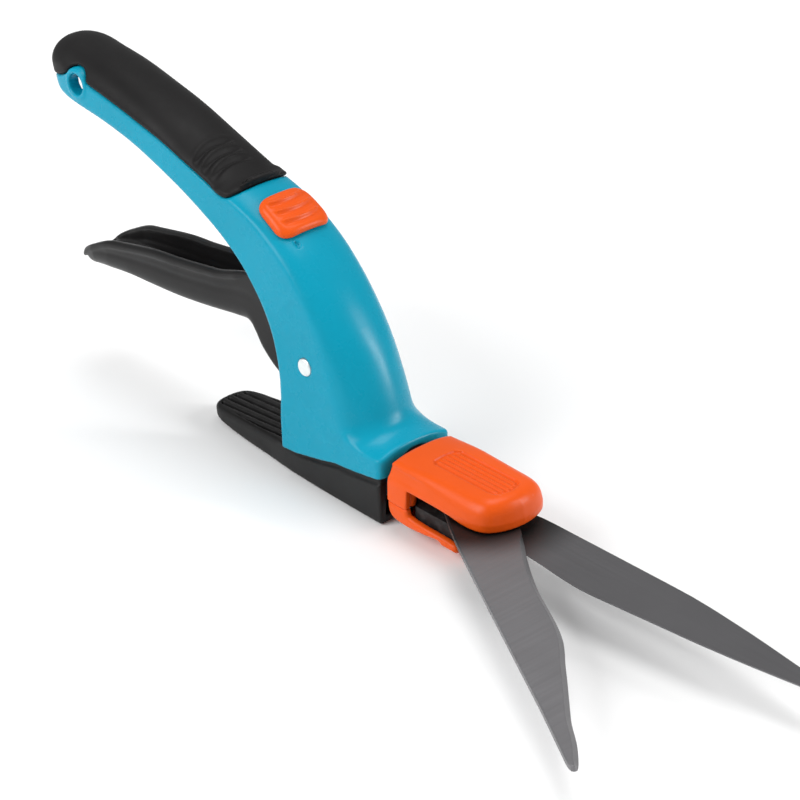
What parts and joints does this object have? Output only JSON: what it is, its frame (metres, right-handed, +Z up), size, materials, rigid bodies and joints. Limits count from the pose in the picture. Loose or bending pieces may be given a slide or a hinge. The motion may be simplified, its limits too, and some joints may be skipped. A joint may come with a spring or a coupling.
{
  "type": "grass shears",
  "caption": "One-hand grass shears: squeeze lever under a swan-neck handle works a swivelling blade head through a push rod, with a thumb lock and a ground sole.",
  "frame": {"origin": "centre of the flat underside of the sole, on the ground under the front of the handle", "axes": "+X forward along the swivel axis to the blade tips, +Y to the tool's left, +Z up from the ground"},
  "size_m": [0.3442, 0.0945, 0.1148],
  "materials": {
    "shell_turquoise": "smooth moulded, semi-gloss turquoise",
    "soft_grip": "matt charcoal elastomer, fine grain",
    "black_plastic": "black moulded, fine spark texture",
    "lever_plastic": "charcoal moulded, satin",
    "orange_plastic": "orange moulded, semi-gloss",
    "blade_steel": "non-stick coated grey steel, satin",
    "steel_bright": "bright zinc-plated steel",
    "brass_bush": "turned brass"
  },
  "bodies": {
    "handle": {"body_shell": "shell_turquoise", "soft_grip": "soft_grip", "sole_plate": "black_plastic", "sole_screws": "steel_bright", "lever_pin": "steel_bright", "lever_pin_cap": "steel_bright", "swivel_bush": "black_plastic", "carriage_guide": "black_plastic", "lever_spring": "steel_bright"},
    "head": {"swivel_neck": "steel_bright", "retaining_ring": "steel_bright", "head_cover": "orange_plastic", "head_base": "orange_plastic", "head_screws": "steel_bright", "blade_carrier": "black_plastic", "lower_blade": "blade_steel", "lower_blade_rivets": "steel_bright", "pivot_bolt": "steel_bright", "pivot_nut": "steel_bright", "spring_washer": "steel_bright"},
    "push_rod": {"push_rod": "steel_bright", "rod_yoke": "steel_bright"},
    "moving_blade": {"upper_blade": "blade_steel", "blade_bush": "brass_bush", "drive_pin": "steel_bright"},
    "lever": {"squeeze_lever": "lever_plastic", "lever_cross_pin": "steel_bright"},
    "carriage": {"drive_carriage": "black_plastic"},
    "thumb_lock": {"lock_slider": "orange_plastic", "lock_latch": "black_plastic"}
  },
  "joints": [
    {"name": "head_swivel", "type": "hinge", "parent": "handle", "child": "head", "pos_m": [0.04, 0, 0.0144], "axis": [1, 0, 0], "continuous": true},
    {"name": "lever_squeeze", "type": "hinge", "parent": "handle", "child": "lever", "pos_m": [0.003, 0, 0.0437], "axis": [0, 1, 0], "range_deg": [0, 24], "stiffness_Nm_per_rad": 0.6, "springref_deg": -20.05, "deforming": ["lever_spring"]},
    {"name": "carriage_slide", "type": "slide", "parent": "handle", "child": "carriage", "axis": [1, 0, 0], "range_m": [-0.005, 0]},
    {"name": "rod_slide", "type": "slide", "parent": "head", "child": "push_rod", "axis": [1, 0, 0], "range_m": [-0.005, 0]},
    {"name": "blade_pivot", "type": "hinge", "parent": "head", "child": "moving_blade", "pos_m": [0.06, 0, 0.0144], "axis": [0, 0, 1], "range_deg": [0, 32.41]},
    {"name": "lock_slide", "type": "slide", "parent": "handle", "child": "thumb_lock", "axis": [0.8949, 0, -0.4462], "range_m": [0, 0.005]}
  ],
  "couplings": [
    {"joint": "carriage_slide", "follows": "lever_squeeze", "m_per_rad": -0.011911},
    {"joint": "rod_slide", "follows": "lever_squeeze", "m_per_rad": -0.011911},
    {"joint": "blade_pivot", "follows": "lever_squeeze", "ratio": 1.35}
  ]
}
